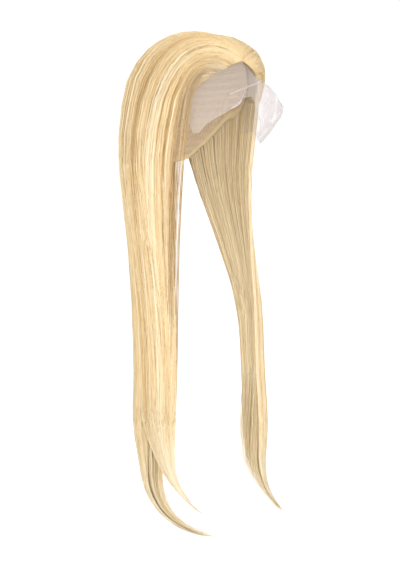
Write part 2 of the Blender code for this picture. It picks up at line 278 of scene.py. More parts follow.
class Graph:
    """The nodes of one material."""

    def __init__(self, name: str) -> None:
        """Start a material with a Principled shader."""
        self.material = bpy.data.materials.new(name)
        self.material.use_nodes = True
        self.tree = self.material.node_tree
        self.shader = self.tree.nodes["Principled BSDF"]

    def connect(self, target: bpy.types.NodeSocket, value: object) -> None:
        """Link a socket, or set its value."""
        if isinstance(value, Link):
            self.tree.links.new(value.socket, target)
        elif isinstance(value, tuple) and len(value) == 3 and target.type == "RGBA":
            target.default_value = (*value, 1.0)
        else:
            target.default_value = value

    def node(
        self, kind: str, settings: dict | None = None, inputs: dict | None = None, output: int = 0
    ) -> Link:
        """Add a node.

        Args:
            kind: The node's type.
            settings: Its own properties. A ramp's stops are (place, colour) pairs.
            inputs: Values or links, by socket name or number.
            output: Which output to return.

        Returns:
            The chosen output.
        """
        made = self.tree.nodes.new(kind)
        for key, value in (settings or {}).items():
            if key == "stops":
                self._set_stops(made.color_ramp, value)
            else:
                setattr(made, key, value)
        for key, value in (inputs or {}).items():
            self.connect(made.inputs[key], value)
        return Link(self, made.outputs[output])

    @staticmethod
    def _set_stops(ramp: bpy.types.ColorRamp, stops: tuple) -> None:
        """Give a colour ramp its stops."""
        while len(ramp.elements) < len(stops):
            ramp.elements.new(1.0)
        for element, (place, colour) in zip(ramp.elements, stops):
            element.position = place
            element.color = (*colour, 1.0)

    def mix_colour(self, first: object, second: object, share: Link | float) -> Link:
        """Mix two colours."""
        made = self.tree.nodes.new("ShaderNodeMix")
        made.data_type = "RGBA"
        self.connect(made.inputs[0], share)
        self.connect(made.inputs[6], first)
        self.connect(made.inputs[7], second)
        return Link(self, made.outputs[2])

    def attribute(self, name: str) -> Link:
        """Read one of the piece's own values."""
        return self.node("ShaderNodeAttribute", {"attribute_name": name}, output=2)

    def noise(self, place: Link, scale: float, detail: float = 2.0) -> Link:
        """Add a noise pattern."""
        inputs = {"Vector": place, "Scale": scale, "Detail": detail, "Roughness": 0.55}
        return self.node("ShaderNodeTexNoise", {}, inputs)

    def stretched(self, place: Link, scale: tuple[float, float, float]) -> Link:
        """Scale a pattern's coordinates, axis by axis."""
        return self.node("ShaderNodeMapping", {}, {"Vector": place, "Scale": scale})

    def bump(self, height: Link, strength: float, distance: float) -> Link:
        """Turn a height into a normal."""
        inputs = {"Height": height, "Strength": strength, "Distance": distance}
        return self.node("ShaderNodeBump", {}, inputs)

    def finish(self, **sockets: object) -> bpy.types.Material:
        """Set the shader's sockets, named with _ for a space, and return the material."""
        for key, value in sockets.items():
            self.connect(self.shader.inputs[key.replace("_", " ")], value)
        return self.material


Colour = tuple[float, float, float]


@dataclass(frozen=True)
class HairFinish:
    """Silky pale blonde hair: four tones, and how they catch the light."""

    white: Colour = (0.93, 0.82, 0.61)
    pale: Colour = (0.85, 0.69, 0.43)
    gold: Colour = (0.76, 0.555, 0.285)
    deep: Colour = (0.44, 0.26, 0.10)
    roughness: float = 0.50

    def _tones(self, graph: Graph, tone: Link) -> Link:
        """Turn a tone from 0 to 1 into a colour, deep to pale."""
        stops = ((0.0, self.deep), (0.35, self.gold), (0.75, self.pale), (1.0, self.white))
        return graph.node("ShaderNodeValToRGB", {"stops": stops}, {0: tone})

    def strands(self, name: str) -> bpy.types.Material:
        """Make the finish of single hairs, which hold their own tone and run."""
        graph = Graph(name)
        flow = graph.node("ShaderNodeAttribute", {"attribute_name": "flow"}, output=1)
        tone = graph.attribute("tone") + 0.4 * (graph.noise(flow, 1.0) - 0.5)
        return graph.finish(
            Base_Color=self._tones(graph, tone),
            Roughness=self.roughness,
            Specular_IOR_Level=0.28,
        )

    def massed(self, name: str, across: float, along: float) -> bpy.types.Material:
        """Make the finish of hair in mass, with its strands as a fine relief.

        Args:
            name: The material's name.
            across: Number of strands across the piece's UV map.
            along: Number of times that a strand changes along the map.

        Returns:
            The material.
        """
        graph = Graph(name)
        flow = graph.node("ShaderNodeUVMap", {"uv_map": "UVMap"})
        fine = graph.noise(graph.stretched(flow, (across, along, 1.0)), 1.0, 3.0)
        broad = graph.noise(graph.stretched(flow, (across / 7.0, along / 2.0, 1.0)), 1.0, 2.0)
        tone = (fine * 0.65 + broad * 0.55).ramp(0.34, 0.86) * 0.55 + 0.30
        return graph.finish(
            Base_Color=self._tones(graph, tone),
            Roughness=self.roughness,
            Specular_IOR_Level=0.35,
            Normal=graph.bump(fine, 0.6, 0.0012),
        )


@dataclass(frozen=True)
class LaceFinish:
    """Sheer net: a hexagon mesh of fine thread, denser where it lies folded double."""

    thread: Colour = (0.66, 0.61, 0.60)
    folded: Colour = (0.74, 0.71, 0.71)
    mesh_size: float = 0.0008
    thread_alpha: float = 0.23
    hole_alpha: float = 0.13

    def build(self, name: str) -> bpy.types.Material:
        """Make the lace's material, whose UV map is in metres."""
        graph = Graph(name)
        flat = graph.node("ShaderNodeUVMap", {"uv_map": "UVMap"})
        cell = graph.node(
            "ShaderNodeTexVoronoi",
            {"feature": "DISTANCE_TO_EDGE", "voronoi_dimensions": "2D"},
            {"Vector": flat, "Scale": 1.0 / self.mesh_size, "Randomness": 0.35},
        )
        thread = 1.0 - cell.ramp(0.06, 0.20)
        layers = graph.attribute("layers")
        alpha = self.hole_alpha + (self.thread_alpha - self.hole_alpha) * thread
        alpha = 1.0 - (1.0 - alpha) ** layers
        return graph.finish(
            Base_Color=graph.mix_colour(self.thread, self.folded, layers.ramp(2.2, 3.6)),
            Roughness=0.75,
            Specular_IOR_Level=0.2,
            Alpha=alpha,
        )


@dataclass(frozen=True)
class NetFinish:
    """Stretch net of the cap: a warm matt knit with sewn rows of hair inside."""

    yarn: Colour = (0.74, 0.60, 0.44)
    shade_colour: Colour = (0.52, 0.40, 0.27)
    row_colour: Colour = (0.84, 0.70, 0.46)

    def build(self, name: str) -> bpy.types.Material:
        """Make the cap's material."""
        graph = Graph(name)
        place = graph.node("ShaderNodeTexCoord", output=3)
        cell = graph.node(
            "ShaderNodeTexVoronoi",
            {"feature": "DISTANCE_TO_EDGE"},
            {"Vector": place, "Scale": 520.0, "Randomness": 0.3},
        )
        yarn = 1.0 - cell.ramp(0.05, 0.28)
        row = graph.attribute("row")
        colour = graph.mix_colour(self.shade_colour, self.yarn, yarn)
        colour = graph.mix_colour(colour, self.row_colour, row)
        return graph.finish(
            Base_Color=colour,
            Roughness=0.85,
            Specular_IOR_Level=0.2,
            Normal=graph.bump(yarn + row, 0.5, 0.0006),
        )


# The head and the hair's map


class Side(Enum):
    """A side of the head, as the sign of X."""

    RIGHT = -1.0
    LEFT = 1.0


@dataclass(frozen=True)
class HeadForm:
    """The head that the wig fits: two half ellipsoids, with an upright forehead.

    Args:
        width: Width at the widest level.
        length: Length from front to back at that level.
        crown_height: Rise of the crown above that level.
        lower_height: Half height of the lower ellipsoid, which the cap and lace reach.
        forehead: How much fuller the forehead is than an ellipsoid, as a share.
    """

    width: float = 0.152
    length: float = 0.194
    crown_height: float = 0.100
    lower_height: float = 0.150
    forehead: float = 0.085

    def heading(self, azimuth: Array | float, latitude: Array | float) -> Array:
        """Return directions on a unit head, from degrees. Azimuth is positive on the right."""
        turn, rise = np.radians(azimuth), np.radians(latitude)
        return np.stack(
            np.broadcast_arrays(
                -np.cos(rise) * np.sin(turn), -np.cos(rise) * np.cos(turn), np.sin(rise)
            ),
            axis=-1,
        )

    def place(self, heading: Array, offset: Array | float) -> Array:
        """Return points of the head form, offset outwards."""
        height = np.where(heading[..., 2] > 0.0, self.crown_height, self.lower_height)
        ahead = np.maximum(-heading[..., 1], 0.0) ** 2 * np.maximum(heading[..., 2], 0.0) ** 2
        fuller = 1.0 + self.forehead * 4.0 * ahead
        return np.stack(
            (
                heading[..., 0] * (self.width / 2.0 + offset),
                heading[..., 1] * (self.length / 2.0 * fuller + offset),
                heading[..., 2] * (height + offset) - self.crown_height,
            ),
            axis=-1,
        )


HEAD = HeadForm()
CAP_WALL = 0.0015

# Lower rim of the cap and the hairline: azimuth and latitude, the same on both sides
CAP_RIM = np.array(
    (
        (0.0, 62.0), (30.0, 54.0), (50.0, 40.0), (60.0, 29.0), (70.0, 14.0), (80.0, -1.0),
        (90.0, -5.0), (100.0, -7.0), (120.0, -19.0), (140.0, -30.0), (180.0, -36.0),
    )
)
HAIRLINE = np.array(
    (
        (0.0, 34.0), (10.0, 32.0), (20.0, 28.0), (30.0, 24.0), (40.0, 18.5),
        (50.0, 10.5), (56.0, 2.5), (60.0, -4.0), (65.0, -8.0), (78.0, -10.0),
    )
)


def rim_latitude(azimuth: Array) -> Array:
    """Return the latitude of the cap's lower rim."""
    return np.interp(np.abs(azimuth), CAP_RIM[:, 0], CAP_RIM[:, 1])


def hairline_latitude(azimuth: Array) -> Array:
    """Return the latitude of the hairline."""
    return np.interp(np.abs(azimuth), HAIRLINE[:, 0], HAIRLINE[:, 1])


@dataclass(frozen=True)
class Section:
    """A level section of a curtain of hair, in shares of the head's and hair's sizes.

    Args:
        level: Length below the widest level of the head, as a share of the fall.
        x: Middle of the section, as a share of the head's half width.
        wide: Half width, as a share of the head's.
        y: Middle of the section, as a share of the head's half length.
        deep: Half length, as a share of the head's.
        front: Azimuth of the front edge of the hair.
        rear: Azimuth of the rear edge of the hair.
        thick: Thickness, as a share of the hair's full thickness.
    """

    level: float
    x: float
    wide: float
    y: float
    deep: float
    front: float
    rear: float
    thick: float


@dataclass(frozen=True)
class Bundle:
    """How some locks end: where they draw together, and how their tips bend.

    Args:
        bend: Level at which the tips start to bend forwards.
        length: Level at which the longest of the locks ends.
        turn: How far the tips turn, in degrees.
        keep: Share of their spread that the locks keep at their ends.
        late: Power that lets the locks draw together later.
        x: Place of the line that they draw in to, as a share of the head's half width.
        y: The same, as a share of the head's half length.
    """

    bend: float
    length: float
    turn: float
    keep: float
    late: float
    x: float
    y: float


RIGHT_FRONT = Bundle(0.745, 0.875, 52.0, 0.08, 1.0, -0.76, -0.04)
RIGHT_REAR = Bundle(0.787, 1.000, 86.0, 0.22, 1.0, -0.64, 0.62)
LEFT_ALL = Bundle(0.752, 0.893, 42.0, 0.16, 2.5, 1.17, -0.39)


@dataclass(frozen=True)
class Curtain:
    """The hair that hangs on one side, as locks from its front edge backwards.

    Args:
        side: The side of the head.
        sections: Its level sections, from the widest level of the head down.
        bundles: The bundle that each lock belongs to.
        lengths: Length of each lock, as a share of its bundle's.
    """

    side: Side
    sections: tuple[Section, ...]
    bundles: tuple[Bundle, ...]
    lengths: tuple[float, ...]

    @property
    def locks(self) -> int:
        """Return the number of locks."""
        return len(self.lengths)

    def columns(self, level: Array) -> dict[str, Array]:
        """Read every size of the sections at some levels."""
        names = ("level", "x", "wide", "y", "deep", "front", "rear", "thick")
        table = {name: np.array([getattr(row, name) for row in self.sections]) for name in names}
        knots = table.pop("level")
        return {name: curve_through(knots, values, level) for name, values in table.items()}


WIDE_RIGHT_CURTAIN = Curtain(
    Side.RIGHT,
    (
        Section(0.00, 0.00, 1.00, 0.00, 1.00, 57.0, 210.75, 0.84),
        Section(0.08, -0.012, 1.028, 0.00, 1.022, 61.0, 208.5, 0.95),
        Section(0.14, -0.02, 1.04, 0.00, 1.03, 63.0, 207.0, 0.92),
        Section(0.28, -0.02, 1.00, 0.00, 0.92, 66.5, 203.0, 0.80),
        Section(0.43, -0.02, 0.97, 0.00, 0.84, 68.0, 199.0, 0.70),
        Section(0.57, -0.02, 0.96, 0.01, 0.83, 69.0, 194.0, 0.62),
        Section(0.68, -0.04, 0.94, 0.05, 0.85, 69.0, 188.0, 0.57),
        Section(0.80, -0.04, 0.90, 0.05, 0.79, 72.0, 182.0, 0.50),
    ),
    (RIGHT_FRONT,) * 3 + (RIGHT_REAR,) * 7,
    (0.96, 1.00, 0.98, 0.95, 0.98, 1.00, 0.985, 0.96, 0.93, 0.90),
)
RIGHT_CURTAIN = replace(
    WIDE_RIGHT_CURTAIN,
    sections=tuple(
        replace(row, front=front)
        for row, front in zip(
            WIDE_RIGHT_CURTAIN.sections, (66.0, 72.0, 74.0, 75.0, 70.5, 69.5, 69.0, 70.0)
        )
    ),
)
LEFT_CURTAIN = Curtain(
    Side.LEFT,
    (
        Section(0.00, 0.00, 1.00, 0.00, 1.00, 57.0, 149.25, 0.84),
        Section(0.08, 0.00, 0.994, 0.00, 0.958, 64.0, 142.0, 0.90),
        Section(0.14, 0.00, 0.99, 0.00, 0.92, 68.0, 137.0, 0.80),
        Section(0.28, 0.02, 1.01, 0.00, 0.83, 64.0, 117.0, 0.72),
        Section(0.43, 0.06, 1.05, -0.02, 0.82, 60.0, 95.0, 0.72),
        Section(0.57, 0.08, 1.03, -0.06, 0.80, 57.0, 90.0, 0.70),
        Section(0.68, 0.08, 1.05, -0.08, 0.84, 54.0, 91.0, 0.70),
        Section(0.80, 0.08, 1.05, -0.08, 0.84, 54.0, 90.0, 0.66),
    ),
    (LEFT_ALL,) * 6,
    (0.98, 1.00, 0.985, 0.955, 0.925, 0.90),
)


@dataclass(frozen=True)
class HairMap:
    """Places hair on the head and below it. Pairs are for the right and the left side.

    Args:
        front: Azimuth of the front edge of the hair at the widest level.
        foot: Azimuth of the foot of the hairline, which the first hairs grow from.
        fall: Length from the widest level of the head to the longest tip.
        root: Thickness of the hair at the parting.
        side: Full thickness of the hair.
        growth: Power by which the hair thickens on its way to the widest level.
        swell: Share of its full thickness that the hair has at the widest level.
        crest: Thickness that the hair gains above the forehead.
        hairline_hair: Thickness at the hairline, as a share of the root's.
        front_hair: Thickness in front, as a share of the full thickness.
        front_lift: How far the front hair stands off between root and widest level.
        edge_hair: Thickness at the very edge, as a share of that in front.
        start: How far off the head form the hair starts.
        parting_front: Front end of the parting, in degrees from the face over the crown.
        parting_rear: Rear end of the parting.
        hairline_share: Share of the hair that is rooted on the hairline.
        parting_gap: Width of the bare parting.
        sweep_back: How far back the hair is combed, as a share of its way.
        combed_to: The way that it is combed: back and up.
        tip_power: Power by which a lock narrows to its fan.
        gather_start: Level at which the locks start to draw together.
        gather_end: Where they have drawn together, as a share of the bundle's length.
        bend_azimuth: The way that the tips bend.
    """

    front: tuple[float, float] = (66.0, 57.0)
    foot: tuple[float, float] = (27.0, 49.0)
    fall: float = 0.705
    root: float = 0.0055
    side: float = 0.031
    growth: float = 1.15
    swell: float = 0.84
    crest: float = 0.0045
    hairline_hair: float = 0.38
    front_hair: float = 0.30
    front_lift: tuple[float, float] = (0.009, 0.015)
    edge_hair: tuple[float, float] = (0.35, 0.75)
    start: float = CAP_WALL + 0.0010
    parting_front: float = 37.0
    parting_rear: float = 135.0
    hairline_share: float = 0.15
    parting_gap: float = 0.0005
    sweep_back: float = 0.22
    combed_to: tuple[float, float, float] = (0.0, 0.45, 0.9)
    tip_power: float = 2.6
    gather_start: float = 0.64
    gather_end: float = 0.99
    bend_azimuth: float = -46.0

    @staticmethod
    def _for_side(sign: Array, values: tuple[float, float]) -> Array:
        """Pick the right or the left side's value."""
        return np.where(sign < 0.0, values[0], values[1])

    def _roots(self, sign: Array, share: Array) -> Array:
        """Return where hairs are rooted, on the hairline or on the parting."""
        azimuth = self._for_side(sign, self.foot) * (1.0 - share / self.hairline_share)
        on_hairline = HEAD.heading(azimuth, hairline_latitude(azimuth))
        behind = np.clip((share - self.hairline_share) / (1.0 - self.hairline_share), 0.0, 1.0)
        tilt = self.parting_front + (self.parting_rear - self.parting_front) * behind**1.1
        heading = np.where(
            (share < self.hairline_share)[..., None], on_hairline, HEAD.heading(0.0, tilt)
        )
        aside = np.maximum(np.abs(heading[..., 0]), self.parting_gap / HEAD.width)
        heading[..., 0] = sign * aside
        return heading

    def crown(self, sign: Array, share: Array, along: Array, depth: Array) -> Array:
        """Place points in the hair on the cap.

        Args:
            sign: Side of the head, as the sign of X.
            share: From the front edge of the hair (0) to the middle of the back (1).
            along: From the root (0) to the widest level of the head (1).
            depth: From the cap's side of the hair (0) to its outside (1).

        Returns:
            The points.
        """
        sign, share, along, depth = np.broadcast_arrays(sign, share, along, depth)
        root = self._roots(sign, share)
        front = self._for_side(sign, self.front)
        end = HEAD.heading(front + (180.0 - front) * share, 0.0)
        least = self.parting_gap / HEAD.width
        end[..., 0] = sign * np.maximum(np.abs(end[..., 0]), least)
        turn = np.arccos(np.clip((unit(root) * unit(end)).sum(-1), -1.0, 1.0))
        spare = np.maximum(np.sin(turn), 1e-6)
        weights = np.sin((1.0 - along) * turn) / spare, np.sin(along * turn) / spare
        path = root * weights[0][..., None] + end * weights[1][..., None]
        chord = np.linalg.norm(root - end, axis=-1)
        bow = self.sweep_back * chord * np.sin(math.pi * along)
        path = unit(path + bow[..., None] * np.array(self.combed_to))
        rooted = self.hairline_hair + (1.0 - self.hairline_hair) * ease((share - 0.10) / 0.25)
        crest = ease((share - 0.12) / 0.12) * (1.0 - ease((share - 0.26) / 0.20))
        thin = self.root * rooted + self.crest * crest
        grown = np.clip(along, 0.0, 1.0) ** self.growth
        full = self.swell * self.thickness(sign, share)
        thickness = thin + (full - thin) * grown
        lift = self._for_side(sign, self.front_lift)
        lift = lift * np.sin(math.pi * np.clip(along, 0.0, 1.0)) ** 1.1
        thickness = thickness + lift * ease(share / 0.10) * (1.0 - ease((share - 0.06) / 0.26))
        return HEAD.place(path, self.start + depth * thickness)

    def thickness(self, sign: Array, share: Array) -> Array:
        """Return how thick the hair is at the widest level, share behind its front edge."""
        edge = self._for_side(sign, self.edge_hair)
        full = self.side * (self.front_hair + (1.0 - self.front_hair) * ease(share / 0.28))
        return full * (edge + (1.0 - edge) * ease(share / 0.08))

    def level_point(self, curtain: Curtain, share: Array, depth: Array, level: Array) -> Array:
        """Place points of a curtain in its level sections, before its tips bend."""
        row = curtain.columns(level)
        turn = np.radians(row["front"] + (row["rear"] - row["front"]) * share)
        crown_sign, _, behind = self.crown_share(curtain, share)
        thick = row["thick"] * self.thickness(crown_sign, behind)
        offset = self.start + depth * thick
        half_width, half_length = HEAD.width / 2.0, HEAD.length / 2.0
        sign = curtain.side.value
        return np.stack(
            (
                row["x"] * half_width + sign * (row["wide"] * half_width + offset) * np.sin(turn),
                row["y"] * half_length - (row["deep"] * half_length + offset) * np.cos(turn),
                np.zeros_like(offset),
            ),
            axis=-1,
        )

    def hanging(
        self, curtain: Curtain, lock: Array, share: Array, depth: Array, level: Array, fan: float
    ) -> Array:
        """Place points in a curtain, with its locks drawn together and its tips bent.

        Args:
            curtain: The curtain of hair.
            lock: The lock that each point belongs to.
            share: From the curtain's front edge (0) to its rear edge (1).
            depth: From the inner side of the hair (0) to its outside (1).
            level: Length below the widest level of the head, as a share of the fall.
            fan: How far the end of a lock spreads, as a share of its full width.

        Returns:
            The points.
        """
        lock, share, depth, level = np.broadcast_arrays(lock, share, depth, level)
        numbers = {
            name: np.array([getattr(bundle, name) for bundle in curtain.bundles])[lock]
            for name in ("bend", "length", "turn", "keep", "late", "x", "y")
        }
        end = numbers["length"] * np.array(curtain.lengths)[lock]
        spent = np.clip((level - self.gather_start) / (end - self.gather_start), 0.0, 1.0)
        scale = 1.0 - (1.0 - fan) * spent**self.tip_power
        middle = self.level_point(curtain, (lock + 0.5) / curtain.locks, 0.5 + 0.0 * depth, level)
        point = self.level_point(curtain, share, depth, level)
        point = middle + (point - middle) * scale[..., None]
        x, y = numbers["x"] * HEAD.width / 2.0, numbers["y"] * HEAD.length / 2.0
        line = np.stack((x, y, 0.0 * level), axis=-1)
        reach = self.gather_end * numbers["length"] - self.gather_start
        drawn = ease((level - self.gather_start) / reach) ** numbers["late"]
        keep = 1.0 - (1.0 - numbers["keep"]) * drawn
        spread = (point - line) * keep[..., None]
        radius = (numbers["length"] - numbers["bend"]) * self.fall / np.radians(numbers["turn"])
        angle = np.maximum(0.0, (level - numbers["bend"]) * self.fall / radius)
        straight = np.minimum(level, numbers["bend"]) * self.fall
        ahead = HEAD.heading(self.bend_azimuth, 0.0)
        across = np.array((-ahead[1], ahead[0], 0.0))
        tilted = ahead * np.cos(angle)[..., None] + np.sin(angle)[..., None] * np.array((0, 0, 1.0))
        centre = line + ahead * (radius * (1.0 - np.cos(angle)))[..., None]
        centre[..., 2] = -HEAD.crown_height - straight - radius * np.sin(angle)
        return (
            centre
            + tilted * (spread @ ahead)[..., None]
            + across * (spread @ across)[..., None]
        )

    def crown_share(self, curtain: Curtain, share: Array) -> tuple[Array, Array, Array]:
        """Find the crown hair that a curtain's hair hangs from.

        Args:
            curtain: The curtain of hair.
            share: From the curtain's front edge to its rear edge.

        Returns:
            The side as the sign of X, the share on that side's crown, and the same share
            counted on past the middle of the back.
        """
        azimuth = curtain.sections[0].front
        azimuth = azimuth + (curtain.sections[0].rear - azimuth) * share
        past = azimuth > 180.0
        sign = np.where(past, -curtain.side.value, curtain.side.value)
        front = self._for_side(sign, self.front)
        own = (np.where(past, 360.0 - azimuth, azimuth) - front) / (180.0 - front)
        return sign, own, np.where(past, 2.0 - own, own)


HAIR = HairMap()
WIDE_HAIR = HairMap(front=(57.0, 57.0), foot=(49.0, 49.0))


# The pieces


@dataclass
class NetCap:
    """The stretch net cap under the hair, with the sewn rows of hair inside.

    Args:
        columns: Faces round the cap.
        rings: Faces from the crown to the rim.
        row_step: Distance from one sewn row to the next.
        row_width: Half width of a row.
        row_height: How far a row stands in towards the head.
        band: Height of the band along the rim.
    """

    columns: int = 128
    rings: int = 88
    row_step: float = 0.011
    row_width: float = 0.0019
    row_height: float = 0.0007
    band: float = 0.006

    def build(self) -> bpy.types.Object:
        """Build the cap from a sphere that is cut at its widest level."""
        deselect_all()
        bpy.ops.mesh.primitive_uv_sphere_add(segments=self.columns, ring_count=2 * self.rings)
        piece = bpy.context.object
        piece.name = piece.data.name = "net_cap"
        widest = {"plane_co": (0, 0, -0.001), "plane_no": (0, 0, 1)}
        edit_whole(piece, partial(bpy.ops.mesh.bisect, clear_inner=True, **widest))
        points = read_points(piece)
        azimuth = np.degrees(np.arctan2(-points[:, 0], -points[:, 1]))
        down = np.degrees(np.arccos(np.clip(points[:, 2], 0.0, 1.0))) / 90.0
        latitude = 90.0 + (rim_latitude(azimuth) - 90.0) * down
        heading = HEAD.heading(azimuth, latitude)
        sewn = self._sewn(HEAD.place(heading, 0.0), latitude - rim_latitude(azimuth))
        write_points(piece, HEAD.place(heading, -self.row_height * sewn))
        store(piece.data, "row", sewn)
        thicken(piece, CAP_WALL)
        shade(piece, NetFinish().build("cap net"))
        return piece

    def _sewn(self, points: Array, above: Array) -> Array:
        """Return 1 on the sewn rows, which are level, and on the band along the rim.

        Args:
            points: Points of the cap.
            above: Each point's height above the rim, in degrees.

        Returns:
            A value from 0 to 1 for each point.
        """
        off = np.abs((-points[:, 2] / self.row_step) % 1.0 - 0.5) * self.row_step
        row = 1.0 - ease(off / self.row_width)
        band = 1.0 - ease((np.radians(above) * HEAD.crown_height - self.band) / 0.001)
        return np.maximum(row, band)


@dataclass(frozen=True)
class Crease:
    """A fold line of the lace, between two places in azimuth and latitude."""

    start: tuple[float, float]
    end: tuple[float, float]
    height: float = 0.0012
    width: float = 1.0


@dataclass
class LaceFront:
    """The sheer lace sheet, from the cap's seam to its uncut edge over the forehead.

    Args:
        flare: How far the loose margin stands off, where it stands off most.
        wall: Thickness of the net.
        seam_gap: Gap between the cap's rim and the lace.
        ear_tab: Azimuth of the sheet's two ends, at the ears.
        flat_lace: How far below the hairline the lace still lies flat, in degrees.
        columns: Faces from ear to ear.
        rows: Faces from the seam to the cut edge.
        flat_size: Sides of a rectangle with the sheet's area, which scale the net's mesh.
            The draped sheet is longer from ear to ear and less deep.
        ripple: Height of the soft ripples.
        fold: Height of the upright folds of the loose margin.
        crease_layers: Layers of net that a crease adds.
        edge_layers: Layers that the cut edge adds.
        wing_layers: Layers that the folds of the loose margin add.
        wing: Azimuths on the left that the loose margin stands off between.
        thin_from: Azimuth on the left that the net looks thinner behind.
        rear_thinning: How much thinner, as a share.
        edge: The cut edge, from the right ear tab round, as azimuth, latitude and share
            of the flare.
        profile: How the margin stands off, as drop from the hairline and share of the flare.
        creases: The fold lines.
    """

    flare: float = 0.036
    wall: float = 0.0005
    seam_gap: float = 0.0008
    ear_tab: float = 78.0
    flat_lace: float = 2.0
    columns: int = 230
    rows: int = 72
    flat_size: tuple[float, float] = (0.235, 0.11)
    ripple: float = 0.0003
    fold: float = 0.0006
    crease_layers: float = 2.2
    edge_layers: float = 0.6
    wing_layers: float = 1.3
    wing: tuple[float, float] = (14.0, 60.0)
    thin_from: float = 47.0
    rear_thinning: float = 0.6
    edge: Array = field(
        default_factory=lambda: np.array(
            (
                (78.0, -15.0, 0.0), (66.0, -14.5, 0.0), (60.0, -13.0, 0.0), (57.0, -18.0, 0.02),
                (51.0, -18.0, 0.06), (43.0, -13.0, 0.07), (32.0, -9.0, 0.07), (19.0, -5.0, 0.07),
                (9.0, -2.5, 0.08), (3.0, 2.0, 0.10), (-8.0, 4.0, 0.20), (-16.0, -3.0, 0.42),
                (-25.0, -11.0, 0.72), (-34.0, -20.0, 0.96), (-42.0, -21.5, 1.0),
                (-49.0, -18.0, 0.55), (-55.0, -15.0, 0.0), (-78.0, -15.0, 0.0),
            )
        )[::-1]
    )
    profile: Array = field(
        default_factory=lambda: np.array(
            ((0.0, 0.0), (0.17, 0.30), (0.52, 1.0), (0.76, 0.68), (1.0, 0.30))
        )
    )
    creases: tuple[Crease, ...] = (
        Crease((-22.0, 16.6), (9.0, 8.6)),
        Crease((9.0, 8.6), (21.5, 4.5)),
        Crease((2.0, 9.8), (7.5, -0.5)),
        Crease((7.5, -0.5), (19.0, -5.0), width=1.4),
        Crease((-38.0, -1.0), (-31.0, -9.0), width=1.6),
        Crease((-38.0, -1.0), (-47.0, -11.0), width=1.6),
        Crease((-24.0, 12.0), (-33.0, -9.0), width=1.8),
    )

    def build(self) -> bpy.types.Object:
        """Build the lace from a flat grid."""
        piece = unit_grid("lace_sheet", self.columns, self.rows)
        flat = read_points(piece)
        azimuth = self.ear_tab * (1.0 - 2.0 * flat[:, 0])
        latitude, offset = self._drape(azimuth, flat[:, 1])
        density = self._density(azimuth, latitude, flat[:, 1])
        write_points(piece, HEAD.place(HEAD.heading(azimuth, latitude), offset))
        store(piece.data, "layers", density)
        self._lay_out_mesh(piece)
        thicken(piece, self.wall)
        shade(piece, LaceFinish().build("sheer lace"))
        return piece

    def _drape(self, azimuth: Array, down: Array) -> tuple[Array, Array]:
        """Lay the sheet over the forehead. Its first third lies under the hair.

        Args:
            azimuth: Azimuth of each point.
            down: Each point's place from the seam (0) to the cut edge (1).

        Returns:
            The latitude and the offset of each point.
        """
        seam = rim_latitude(azimuth) - math.degrees(self.seam_gap / HEAD.crown_height)
        hairline = np.minimum(hairline_latitude(azimuth), seam) - self.flat_lace
        edge = np.interp(azimuth, self.edge[:, 0], self.edge[:, 1])
        drop = np.clip((down - 1.0 / 3.0) * 1.5, 0.0, 1.0)
        under = np.clip(down * 3.0, 0.0, 1.0)
        latitude = seam + (hairline - seam) * under + (edge - hairline) * drop
        flare = curve_through(self.profile[:, 0], self.profile[:, 1], drop)
        flare = flare * curve_through(self.edge[:, 0], self.edge[:, 2], azimuth)
        offset = self.flare * np.maximum(flare, 0.0)
        for crease in self.creases:
            offset = offset + crease.height * self._near(crease, azimuth, latitude)
        ripple = np.sin(azimuth * 0.55 + 1.3 * np.sin(latitude * 0.21)) * np.sin(azimuth * 0.23)
        offset = offset + self.ripple * ripple * ease(drop * 1.6)
        wing = self._wing(azimuth) * ease(drop * 1.4)
        folds = self._folds(azimuth, latitude) + 0.5 * np.sin(azimuth * 2.3)
        return latitude, np.maximum(offset + self.fold * folds * wing, 0.0)

    @staticmethod
    def _folds(azimuth: Array, latitude: Array) -> Array:
        """Return the soft upright folds of the loose margin, from -1 to 1."""
        return np.sin(azimuth * 1.25 + 0.6 * np.sin(latitude * 0.3))

    @staticmethod
    def _near(crease: Crease, azimuth: Array, latitude: Array) -> Array:
        """Return 1 on a crease, falling to 0 beside it."""
        along = np.array(crease.end) - np.array(crease.start)
        east, north = azimuth - crease.start[0], latitude - crease.start[1]
        share = np.clip((east * along[0] + north * along[1]) / (along @ along), 0.0, 1.0)
        gap = np.hypot(east - share * along[0], north - share * along[1])
        return 1.0 - ease(gap / crease.width)

    def _density(self, azimuth: Array, latitude: Array, down: Array) -> Array:
        """Return how many layers of net lie at each point."""
        density = 1.0 + 0.0 * azimuth
        for crease in self.creases:
            density += self.crease_layers * self._near(crease, azimuth, latitude) ** 2
        density += self.edge_layers * ease((down - 0.985) / 0.012)
        loose = self._wing(azimuth) * ease((down - 0.4) / 0.2)
        folds = 0.5 + 0.5 * self._folds(azimuth, latitude)
        density += self.wing_layers * loose * (0.45 + 0.55 * folds)
        return density * (1.0 - self.rear_thinning * ease((-azimuth - self.thin_from) / 6.0))

    def _wing(self, azimuth: Array) -> Array:
        """Return 1 over the part that stands off the left temple, and 0 elsewhere."""
        front, rear = self.wing
        return ease((-azimuth - front) / 12.0) * ease((rear + azimuth) / 10.0)

    def _lay_out_mesh(self, piece: bpy.types.Object) -> None:
        """Scale the sheet's UV map to metres, so that the net's mesh has about its real size."""
        layer = piece.data.uv_layers["UVMap"].data
        flat = np.empty(2 * len(layer))
        layer.foreach_get("uv", flat)
        flat = flat.reshape(-1, 2) * np.array(self.flat_size)
        layer.foreach_set("uv", flat.ravel())


